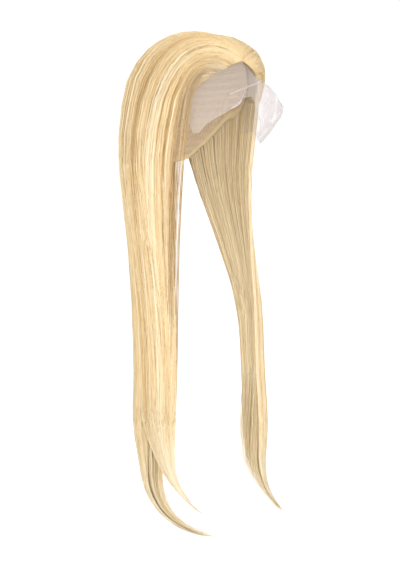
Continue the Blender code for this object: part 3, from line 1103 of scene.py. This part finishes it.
@dataclass
class HairCore:
    """The hair in mass, which the single hairs lie on and in.

    Args:
        finish: The hair's finish.
        inner: Depth of the core's inner side.
        outer: Depth of its outer side.
        root_outer: Depth of its outer side at the roots.
        crown_columns: Faces of the crown hair from front to back.
        crown_rows: Faces of the crown hair from the roots down.
        ring: Faces round a lock.
        sections: Faces along a lock.
        tip: How far the end of a lock's core spreads, as a share of its full width.
        reach: Length of a core, as a share of its lock's.
        overlap: How far a lock reaches up into the crown hair, as a level.
        edge: The share that the crown hair starts from.
        squareness: Power that squares a lock's section. 1 leaves it round.
        filled: Half width of a lock's core, as a share of the lock's width.
        crown_ridge: Height of the ridges on the crown, as a share of the depth.
        lock_ridge: Height of the ridges on a lock, as a share of its thickness.
    """

    finish: HairFinish
    inner: float = 0.10
    outer: float = 0.88
    root_outer: float = 0.66
    crown_columns: int = 110
    crown_rows: int = 40
    ring: int = 20
    sections: int = 64
    tip: float = 0.10
    reach: float = 0.88
    overlap: float = 0.004
    edge: float = 0.012
    squareness: float = 0.45
    filled: float = 0.487
    crown_ridge: float = 0.02
    lock_ridge: float = 0.03

    def crown(self, side: Side) -> bpy.types.Object:
        """Build the hair of one side of the crown: a block bent over the cap."""
        piece = unit_grid(f"crown_core_{side.name.lower()}", self.crown_columns, self.crown_rows)
        raise_block(piece)
        flat = read_points(piece)
        share = self.edge + (1.0 - self.edge) * flat[:, 0]
        early = 0.05 * (1.0 - ease((share - HAIR.hairline_share) / 0.05))
        along = early + (1.0 - early) * flat[:, 1]
        outer = self.root_outer + (self.outer - self.root_outer) * ease(along / 0.35)
        outer = outer * (0.45 + 0.55 * ease(share / 0.05))
        outer = outer * (1.0 + self.crown_ridge * ridges(share * 9.0, along))
        depth = self.inner + (outer - self.inner) * flat[:, 2]
        write_points(piece, HAIR.crown(side.value, share, along, depth))
        face_outwards(piece)
        shade(piece, self.finish.massed(f"massed crown hair {side.name.lower()}", 260.0, 5.0))
        return piece

    def locks(self, name: str, curtain: Curtain, chosen: range) -> bpy.types.Object:
        """Build some of a curtain's locks as tubes, and join them into one piece."""
        parts = [self._lock(f"{name}_{lock}", curtain, lock) for lock in chosen]
        deselect_all()
        for part in parts:
            part.select_set(True)
        bpy.context.view_layer.objects.active = parts[0]
        bpy.ops.object.join()
        piece = bpy.context.object
        piece.name = piece.data.name = name
        shade(piece, self.finish.massed(f"massed {name}", 60.0, 10.0))
        return piece

    def _lock(self, name: str, curtain: Curtain, lock: int) -> bpy.types.Object:
        """Build one lock: a grid rolled into a tube."""
        piece = unit_grid(name, self.ring, self.sections)
        flat = read_points(piece)
        turn = 2.0 * math.pi * np.where(flat[:, 0] > 0.9999, 0.0, flat[:, 0])
        across = np.sign(np.cos(turn)) * np.abs(np.cos(turn)) ** self.squareness
        out = np.sign(np.sin(turn)) * np.abs(np.sin(turn)) ** self.squareness
        taper = 1.0 - 0.92 * ease((flat[:, 1] - 0.78) / 0.22)
        across, out = across * taper, out * taper
        share = (lock + 0.5 + self.filled * across) / curtain.locks
        middle, half = (self.outer + self.inner) / 2.0, (self.outer - self.inner) / 2.0
        end = curtain.bundles[lock].length * curtain.lengths[lock]
        level = -self.overlap + (self.reach * end + self.overlap) * flat[:, 1]
        rough = 1.0 + self.lock_ridge * ridges(share * 9.0, 1.0 + level * 4.0)
        depth = middle + half * out * rough
        write_points(piece, HAIR.hanging(curtain, lock, share, depth, level, self.tip))
        close_tube(piece)
        face_outwards(piece)
        return piece


@dataclass(frozen=True)
class Layer:
    """A layer of single hairs.

    Args:
        name: The piece's name.
        curtain: The curtain that the hairs hang in.
        count: Number of hairs.
        shares: Lowest and highest share.
        depths: Lowest and highest depth.
        radius: Radius of a hair, thicker than a real one, which would not show.
        loose: How far the hairs wander.
        swept: How far towards the hairline's peak the roots are gathered, from 0 to 1.
        lean: How far forwards the hairs fall, as a share of the curtain.
        tone: Mean tone, from 0 (deep) to 1 (pale).
        first: Where on the crown the hairs start, from 0 (the root) to 1.
        top: Level that hairs with no part on the crown start from, or 0.
        reach: Shortest and longest hair, as shares of the lock's length.
        crown_points: Points along a hair on the crown.
        hair: The map that places the hairs.
        seed: Seed of the layer's own random numbers.
    """

    name: str
    curtain: Curtain
    count: int
    shares: tuple[float, float] = (0.0, 1.0)
    depths: tuple[float, float] = (0.84, 1.02)
    radius: float = 0.00044
    loose: float = 1.0
    swept: float = 0.0
    lean: float = 0.0
    tone: float = 0.50
    first: float = 0.0
    top: float = 0.0
    reach: tuple[float, float] = (0.66, 1.02)
    crown_points: int = 9
    hair: HairMap = HAIR
    seed: int = 1

    @property
    def inner(self) -> bool:
        """Return whether the hairs lie on the inner side of the hair."""
        return self.depths[0] <= 0.0 and self.depths[1] < 0.5

    @property
    def outer(self) -> bool:
        """Return whether the hairs lie on the outside of the hair."""
        return self.depths[0] > 0.5


@dataclass
class HairSweep:
    """Sweeps single hairs, each a thin closed prism."""

    material: bpy.types.Material
    corners: int = 3

    def build(
        self, name: str, points: Array, outward: Array, radius: Array, tone: Array
    ) -> bpy.types.Object:
        """Sweep a small ring along each hair and join all of them into one mesh.

        Args:
            name: The piece's name.
            points: Points along each hair.
            outward: The way that faces out of the hair at each point.
            radius: Radius at each point.
            tone: Tone at each point.

        Returns:
            The joined hairs.
        """
        count, length = points.shape[:2]
        tangent = unit(np.gradient(points, axis=1))
        across = unit(np.cross(tangent, outward))
        out = np.cross(across, tangent)
        turns = np.arange(self.corners) * 2.0 * math.pi / self.corners + math.pi / 2.0
        ring = (
            across[:, :, None, :] * np.cos(turns)[None, None, :, None]
            + 0.7 * out[:, :, None, :] * np.sin(turns)[None, None, :, None]
        )
        verts = points[:, :, None, :] + ring * radius[:, :, None, None]
        index = np.arange(count * length * self.corners).reshape(count, length, self.corners)
        beside = np.roll(index, -1, axis=2)
        quads = np.stack((index[:, :-1], beside[:, :-1], beside[:, 1:], index[:, 1:]), axis=-1)
        caps = np.concatenate((index[:, 0, ::-1], index[:, -1, :]))
        mesh = bpy.data.meshes.new(name)
        mesh.from_pydata(verts.reshape(-1, 3), [], quads.reshape(-1, 4).tolist() + caps.tolist())
        tones = np.repeat(tone[:, :, None], self.corners, axis=2).ravel()
        store(mesh, "tone", tones)
        hairs, rings, corners = np.indices((count, length, self.corners))
        flow = np.stack((hairs * 11.7 + corners * 3.0, rings * 0.5, 0.0 * rings), axis=-1)
        place = mesh.attributes.new("flow", "FLOAT_VECTOR", "POINT")
        place.data.foreach_set("vector", flow.ravel())
        piece = bpy.data.objects.new(name, mesh)
        bpy.context.collection.objects.link(piece)
        shade(piece, self.material)
        return piece


@dataclass
class LongHair:
    """Hairs that run from the hairline or the parting down to the ends of the locks.

    Args:
        sweep: What sweeps the hairs.
        fall_levels: Where the points of the hanging part are, as shares of its length.
        fan: How far the end of a lock spreads, as a share of its full width.
        root_depth: Depth that hairs of the outside have at their roots.
        hidden_depth: Depth that hairs with no part on the crown start from.
        clump: Hairs in a clump.
        streak_cells: Changes of the fine, middling and broad streaks across a lock.
        depth_streaks: How far the fine and middling streaks change the depth.
        tone_streaks: How far the fine, middling and broad streaks change the tone.
        tone_jitter: How far the tone varies from hair to hair.
        root_shade: How much deeper the tone is at the roots.
        pale_tips: How much paler the tips are, as two parts.
        wander: How far hairs wander sideways, in depth and on the crown.
        lean_level: Level at which a leaning hair has reached its new place.
        probe: Step in depth that finds the way out of the hair.
    """

    sweep: HairSweep
    fall_levels: tuple[float, ...] = (
        0.0, 0.07, 0.15, 0.24, 0.35, 0.48, 0.58, 0.655, 0.72, 0.78, 0.835, 0.885, 0.94, 1.0,
    )
    fan: float = 0.80
    root_depth: float = 0.66
    hidden_depth: float = 0.1
    clump: int = 6
    streak_cells: tuple[int, int, int] = (26, 9, 3)
    depth_streaks: tuple[float, float] = (0.014, 0.020)
    tone_streaks: tuple[float, float, float] = (0.15, 0.13, 0.05)
    tone_jitter: float = 0.12
    root_shade: float = 0.10
    pale_tips: tuple[float, float] = (0.35, 0.20)
    wander: tuple[float, float, float] = (0.0075, 0.05, 0.006)
    lean_level: float = 0.65
    probe: float = 0.08

    def build(self, layer: Layer) -> bpy.types.Object:
        """Build one layer of hairs and return it as one piece."""
        rng = np.random.default_rng(layer.seed)
        count, low, high = layer.count, *layer.shares
        clumps = max(2, count // self.clump)
        member = rng.integers(0, clumps, count)
        share = low + (high - low) * (member + rng.random(clumps)[member]) / clumps
        share = np.clip(share + rng.normal(0.0, 0.0025, count), low, high)
        cells = [number * layer.curtain.locks for number in self.streak_cells]
        fine, middling = streaks(share, cells[0], 3), streaks(share, cells[1], 4)
        depth = rng.uniform(*layer.depths, count)
        if layer.outer:
            depth = depth + self.depth_streaks[0] * fine + self.depth_streaks[1] * middling
        drift = rng.normal(0.0, 0.2, (3, count)) + rng.normal(0.0, 0.8, (3, clumps))[:, member]
        phase = rng.uniform(0.0, 2.0 * math.pi, (2, count))
        weights, broad = self.tone_streaks, streaks(share, cells[2], 5)
        spread = weights[0] * fine + weights[1] * middling + weights[2] * broad
        spread = spread + self.tone_jitter * rng.normal(0.0, 1.0, count)
        lengths = layer.reach[0] + (layer.reach[1] - layer.reach[0]) * rng.beta(3.0, 1.0, count)
        starts = layer.first + rng.uniform(-0.01, 0.045, count)

        points, outward = self._trace(layer, share, depth, lengths, starts, drift, phase)
        run = np.linspace(0.0, 1.0, points.shape[1])[None, :]
        thin = np.minimum(1.0, np.minimum(0.35 + run * 10.0, 0.18 + (1.0 - run) * 3.0))
        radius = layer.radius * rng.uniform(0.7, 1.3, count)[:, None] * thin
        contrast = 0.60 + 0.65 * ease((run - 0.15) / 0.25)
        tone = layer.tone + spread[:, None] * contrast
        tone = tone - self.root_shade * (1.0 - ease(run / 0.05))
        tone = tone + self.pale_tips[0] * ease((run - 0.78) / 0.20)
        tone = tone + self.pale_tips[1] * ease((run - 0.80) / 0.20)
        tone = np.clip(tone, 0.0, 1.0)
        return self.sweep.build(layer.name, points, outward, radius, tone)

    def _trace(
        self, layer: Layer, share: Array, depth: Array, lengths: Array,
        starts: Array, drift: Array, phase: Array,
    ) -> tuple[Array, Array]:
        """Trace the hairs.

        Args:
            layer: The layer.
            share: Each hair's share, which it keeps at the widest level of the head.
            depth: Each hair's depth.
            lengths: Each hair's length, as a share of its lock's length.
            starts: Where on the crown each hair starts.
            drift: How each hair wanders: sideways, in depth, and on the crown.
            phase: Phases of the wandering.

        Returns:
            The points along each hair, and the way out of the hair at each point.
        """
        curtain, hair = layer.curtain, layer.hair
        share, depth = share[:, None], depth[:, None]
        lean = layer.lean * (0.75 + 0.25 * np.sin(phase[1]))[:, None]
        lock = np.clip(((share - lean) * curtain.locks).astype(int), 0, curtain.locks - 1)
        full = np.array([bundle.length for bundle in curtain.bundles]) * np.array(curtain.lengths)

        run = np.linspace(0.0, 1.0, layer.crown_points)[None, :-1]
        along = starts[:, None] + (1.0 - starts[:, None]) * run
        sign, own, _ = hair.crown_share(curtain, share)
        peak = hair.hairline_share * (0.75 + 0.25 * np.sin(phase[0])[:, None])
        own = own + layer.swept * (peak - own) * (1.0 - run) ** 1.6
        hug = 1.0 + layer.swept * (1.2 + 1.2 * np.sin(phase[1])[:, None])
        along = np.where(along > 0.0, np.abs(along) ** hug, along)
        sideways, deeper, over = (
            size * layer.loose * drift[k][:, None] for k, size in enumerate(self.wander)
        )
        own = own + over * np.sin(math.pi * along)
        own = np.clip(own, 0.0, 1.0)
        rise = ease((along + 0.06) * 4.0)
        crown_depth = depth + 0.0 * along
        if layer.outer:
            crown_depth = self.root_depth + (depth - self.root_depth) * rise

        level = np.array(self.fall_levels)[None, :]
        level = layer.top + level * (full[lock] * lengths[:, None] - layer.top)
        swing = np.sin(level * 5.0 + phase[0][:, None]) - np.sin(phase[0])[:, None]
        falls = share + sideways * swing
        falls = falls - lean * ease(level / self.lean_level)
        low, high = (lock + 0.02) / curtain.locks, (lock + 0.98) / curtain.locks
        falls = falls + (np.clip(falls, low, high) - falls) * ease((level - 0.3) / 0.4)
        falls = np.clip(falls, 0.0, 1.0)
        settled = 0.10 * np.maximum(depth - 0.90, 0.0) / 0.12
        falls_depth = depth + deeper * level - settled * ease(level * 4.0)
        if layer.top > 0.0:
            settle = ease((level - layer.top) / 0.35)
            falls_depth = self.hidden_depth + (falls_depth - self.hidden_depth) * settle

        sides = []
        for step in (0.0, self.probe):
            parts = [hair.hanging(curtain, lock, falls, falls_depth + step, level, self.fan)]
            if layer.top == 0.0:
                parts.insert(0, hair.crown(sign, own, along, crown_depth + step))
            sides.append(np.concatenate(parts, axis=1))
        return sides[0], unit(sides[1] - sides[0])


@dataclass
class HairlineFringe:
    """Fine pale hairs on the lace, which soften the hairline of one side.

    Args:
        sweep: What sweeps the hairs.
        count: Number of hairs.
        points: Points along a hair.
        radius: Radius of a hair.
        seed: Seed of the random numbers, which each side shifts by one.
    """

    sweep: HairSweep
    count: int = 170
    points: int = 7
    radius: float = 0.0002
    seed: int = 31

    def build(self, side: Side) -> bpy.types.Object:
        """Build one side's fringe and return it as one piece."""
        rng = np.random.default_rng(self.seed + int(side.value))
        count = self.count
        share = WIDE_HAIR.hairline_share * rng.random(count)[:, None] ** 0.8
        run = np.linspace(0.0, 1.0, self.points)[None, :]
        start = rng.uniform(-0.04, 0.16, count)[:, None]
        along = start + rng.uniform(0.14, 0.34, count)[:, None] * run
        share = share + 0.008 * rng.normal(0.0, 1.0, count)[:, None] * run
        lift = rng.uniform(0.1, 1.0, count)[:, None]
        depth = lift * ease(run * 2.5) + 0.05 * rng.normal(0.0, 1.0, (count, 1)) * run
        share = np.clip(share, 0.0, 1.0)
        base = WIDE_HAIR.crown(side.value, share, along, depth)
        above = WIDE_HAIR.crown(side.value, share, along, depth + 0.1)
        thin = np.minimum(0.4 + run * 3.0, 0.2 + (1.0 - run) * 2.5)
        radius = self.radius * rng.uniform(0.7, 1.3, (count, 1)) * np.minimum(1.0, thin)
        tone = np.clip(rng.normal(0.85, 0.12, (count, 1)) + 0.0 * run, 0.0, 1.0)
        name = f"hairline_fringe_{side.name.lower()}"
        return self.sweep.build(name, base, unit(above - base), radius, tone)


# The studio


@dataclass(frozen=True)
class Lamp:
    """A square soft lamp, with its place and size in metres and its power in watts."""

    name: str
    place: tuple[float, float, float]
    size: float
    power: float


LAMPS = (
    Lamp("right flank", (-2.0, 1.0, 1.3), 1.6, 2.5),
    Lamp("front", (-1.4, -2.1, 0.0), 1.4, 14.0),
    Lamp("low front", (-1.5, -1.7, -0.65), 1.2, 9.0),
    Lamp("front left", (1.1, -2.3, 0.2), 1.6, 4.0),
    Lamp("back", (1.8, 1.8, 0.6), 1.6, 12.0),
)


@dataclass
class Studio:
    """A flat pale floor, soft light and the camera.

    Args:
        azimuth: Angle of the photo round the wig, in degrees.
        elevation: Angle of the photo above the level, in degrees.
        distance: From the camera to the wig.
        pixel: Size of one of the photo's pixels at the wig.
        photo_height: Height of the photo in pixels.
        crown_row: Row of the photo that the top of the hair is on.
        crown_top: Height of the top of the hair.
        shift_right: How far to the right of the origin the camera looks.
        sensor: Size of the camera's sensor, in millimetres.
        floor: Height of the floor.
        floor_radius: Radius of the floor.
        room_light: Strength of the light from the pale surroundings.
        overhead: Strength of the light from above.
        aim: The place that the lamps face.
        backdrop: Colour of the floor.
    """

    azimuth: float = -44.0
    elevation: float = 3.0
    distance: float = 1.8
    pixel: float = 1.516e-3
    photo_height: int = 570
    crown_row: int = 33
    crown_top: float = 0.012
    shift_right: float = 1.516e-3
    sensor: float = 36.0
    floor: float = -0.84
    floor_radius: float = 14.0
    room_light: float = 1.14
    overhead: float = 0.10
    aim: tuple[float, float, float] = (0.0, 0.0, -0.3)
    backdrop: Colour = (0.96, 0.96, 0.965)

    def _back(self) -> Vector:
        """Return the direction from the wig to the camera."""
        turn, rise = math.radians(self.azimuth), math.radians(self.elevation)
        return Vector(
            (math.sin(turn) * math.cos(rise), -math.cos(turn) * math.cos(rise), math.sin(rise))
        )

    def camera(self) -> None:
        """Place the camera at the photo's angle, with the photo's frame."""
        turn = math.radians(self.azimuth)
        half = self.photo_height / 2.0
        target = Vector((math.cos(turn), math.sin(turn), 0.0)) * self.shift_right
        target.z = self.crown_top - (half - self.crown_row) * self.pixel
        data = bpy.data.cameras.new("portrait")
        data.sensor_width = self.sensor
        data.lens = self.sensor * self.distance / (self.photo_height * self.pixel)
        data.clip_end = 50.0
        eye = bpy.data.objects.new("portrait", data)
        eye.location = target + self._back() * self.distance
        eye.rotation_euler = self._back().to_track_quat("Z", "Y").to_euler()
        bpy.context.collection.objects.link(eye)
        bpy.context.scene.camera = eye

    def stage(self) -> None:
        """Add the floor, a wide disc, in a plain pale finish."""
        deselect_all()
        bpy.ops.mesh.primitive_circle_add(
            vertices=96,
            radius=self.floor_radius,
            fill_type="NGON",
            location=(0.0, 0.0, self.floor),
        )
        floor = bpy.context.object
        floor.name = "floor"
        bpy.ops.object.transform_apply(location=True, rotation=False, scale=False)
        graph = Graph("pale floor")
        place = graph.node("ShaderNodeTexCoord", output=3)
        speckle = graph.noise(place, 3.0) * 0.02
        colour = graph.mix_colour(self.backdrop, (0.98, 0.98, 0.98), speckle)
        shade(floor, graph.finish(Base_Color=colour, Roughness=0.9))

    def lights(self) -> None:
        """Add the pale surroundings, the soft lamps and a weak light from above."""
        world = bpy.data.worlds.new("pale room")
        world.use_nodes = True
        back = world.node_tree.nodes["Background"]
        back.inputs["Color"].default_value = (1.0, 1.0, 1.0, 1.0)
        back.inputs["Strength"].default_value = self.room_light
        bpy.context.scene.world = world
        for lamp in LAMPS:
            self._lamp(lamp)
        overhead = bpy.data.lights.new("overhead", "SUN")
        overhead.energy = self.overhead
        overhead.angle = math.radians(60.0)
        bpy.context.collection.objects.link(bpy.data.objects.new("overhead", overhead))

    def _lamp(self, lamp: Lamp) -> None:
        """Add a lamp and turn it to the hair."""
        data = bpy.data.lights.new(lamp.name, "AREA")
        data.size = lamp.size
        data.energy = lamp.power
        placed = bpy.data.objects.new(lamp.name, data)
        placed.location = lamp.place
        aim = Vector(self.aim) - Vector(lamp.place)
        placed.rotation_euler = aim.to_track_quat("-Z", "Y").to_euler()
        bpy.context.collection.objects.link(placed)


def add_to_wig(piece: bpy.types.Object, slot: str, *nodes: str) -> bpy.types.Object:
    """Fix a piece to the wig.

    Args:
        piece: The new piece.
        slot: The record's material slot that it belongs to. Not used.
        nodes: The solids that it stands for.

    Returns:
        The piece.
    """
    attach(piece, BODY)
    if nodes:
        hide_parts(*nodes)
    mesh = piece.data
    LOG.info("%s: %d points, %d faces", piece.name, len(mesh.vertices), len(mesh.polygons))
    return piece


LAYERS = (
    Layer("right_outer_hair", RIGHT_CURTAIN, 1220, (0.0, 0.5), seed=11),
    Layer("back_outer_hair", RIGHT_CURTAIN, 785, (0.5, 1.0), seed=12),
    Layer("left_outer_hair", LEFT_CURTAIN, 840, seed=13),
    Layer("right_swept_hair", RIGHT_CURTAIN, 420, (0.05, 0.75), (0.96, 1.04), swept=1.0, seed=16),
    Layer("left_swept_hair", LEFT_CURTAIN, 380, (0.08, 0.95), (0.96, 1.04), swept=1.0, seed=17),
    Layer(
        "right_crossing_hair", RIGHT_CURTAIN, 250, (0.16, 0.55), (0.99, 1.06), lean=0.17, tone=0.42,
        seed=27,
    ),
    # The inner layers get a near white tone: painted light on the shaded inner side of the hair.
    Layer(
        "right_inner_hair", RIGHT_CURTAIN, 385, depths=(0.0, 0.12), tone=0.96, first=0.9,
        crown_points=3, seed=14,
    ),
    Layer(
        "left_inner_hair", LEFT_CURTAIN, 350, depths=(0.0, 0.12), tone=1.0, first=0.9,
        crown_points=3, seed=15,
    ),
    Layer("right_hairline_hair", RIGHT_CURTAIN, 300, (0.0, 0.17), (0.6, 0.95), tone=0.68, seed=25),
    Layer("left_hairline_hair", LEFT_CURTAIN, 260, (0.0, 0.17), (0.6, 0.95), tone=0.68, seed=26),
    # The front edge hairs get a pale tone: painted light on the self-shadowed front edge.
    Layer("right_front_hair", RIGHT_CURTAIN, 220, (0.0, 0.02), (0.0, 1.0), tone=0.90, seed=18),
    Layer("left_front_hair", LEFT_CURTAIN, 220, (0.0, 0.02), (0.0, 1.0), tone=0.90, seed=19),
    Layer("right_rear_hair", RIGHT_CURTAIN, 130, (0.98, 1.0), (0.0, 1.0), seed=20),
    Layer("left_rear_hair", LEFT_CURTAIN, 130, (0.98, 1.0), (0.0, 1.0), seed=21),
    # The wisps get a deep tone: painted shade of the shaded zone beside the face.
    Layer(
        "right_wisps", WIDE_RIGHT_CURTAIN, 70, (0.0, 0.08), (0.0, 0.9), radius=0.00021,
        loose=1.6, tone=0.32, hair=WIDE_HAIR, seed=22,
    ),
    # The tail layers get pale tones and the glow finish: partly the paler tips of the real hair,
    # partly painted light in the shaded hollows of the tails.
    Layer(
        "front_tail_hair", RIGHT_CURTAIN, 120, (0.02, 0.29), (-0.5, 0.2), tone=0.8, top=0.5,
        seed=28,
    ),
    Layer(
        "rear_tail_hair", RIGHT_CURTAIN, 320, (0.32, 0.97), (-1.9, 0.2), tone=1.0, top=0.5,
        seed=29,
    ),
    Layer(
        "left_tail_hair", LEFT_CURTAIN, 210, (0.05, 0.95), (-1.0, 0.2), tone=1.1, top=0.5,
        seed=30,
    ),
    Layer(
        "loose_hair_right", RIGHT_CURTAIN, 60, depths=(0.95, 1.12), radius=0.0002, loose=5.0,
        seed=23,
    ),
    Layer(
        "loose_hair_left", LEFT_CURTAIN, 40, depths=(0.95, 1.12), radius=0.0002, loose=5.0,
        seed=24,
    ),
)


def main() -> None:
    """Build the wig, then the studio."""
    logging.basicConfig(level=logging.INFO, format="%(message)s")
    bpy.context.scene.view_settings.view_transform = "Standard"

    add_to_wig(NetCap().build(), "cap_net", "cap_crown")
    lace = add_to_wig(LaceFront().build(), "lace", "lace_front")

    finish = HairFinish()
    core = HairCore(finish)
    add_to_wig(core.crown(Side.RIGHT), "crown_hair", "crown_hair_right")
    add_to_wig(core.crown(Side.LEFT), "crown_hair", "crown_hair_left")
    right = [f"right_lock_{number}" for number in range(1, 7)]
    back = [f"back_lock_{number}" for number in range(1, 5)]
    left = [f"left_lock_{number}" for number in range(1, 7)]
    add_to_wig(core.locks("right_core", RIGHT_CURTAIN, range(0, 6)), "hair", *right)
    add_to_wig(core.locks("back_core", RIGHT_CURTAIN, range(6, 10)), "hair", *back)
    add_to_wig(core.locks("left_core", LEFT_CURTAIN, range(0, 6)), "hair", *left)

    sweep = HairSweep(finish.strands("blonde strands"))
    # The inner and tail hairs get a paler, warmer copy of the finish: painted glow that stands in
    # for light passing through the hair into its shaded inside.
    warm = replace(finish, white=(0.98, 0.84, 0.58), pale=(0.92, 0.74, 0.45))
    glow_sweep = HairSweep(warm.strands("inner strands with painted glow"))
    for layer in LAYERS:
        chosen = glow_sweep if layer.inner else sweep
        add_to_wig(LongHair(chosen).build(layer), "hair")
    fringe = HairlineFringe(sweep)
    add_to_wig(fringe.build(Side.RIGHT), "crown_hair")
    add_to_wig(fringe.build(Side.LEFT), "crown_hair")

    studio = Studio()
    studio.camera()
    studio.stage()
    studio.lights()


if __name__ == "__main__":
    main()
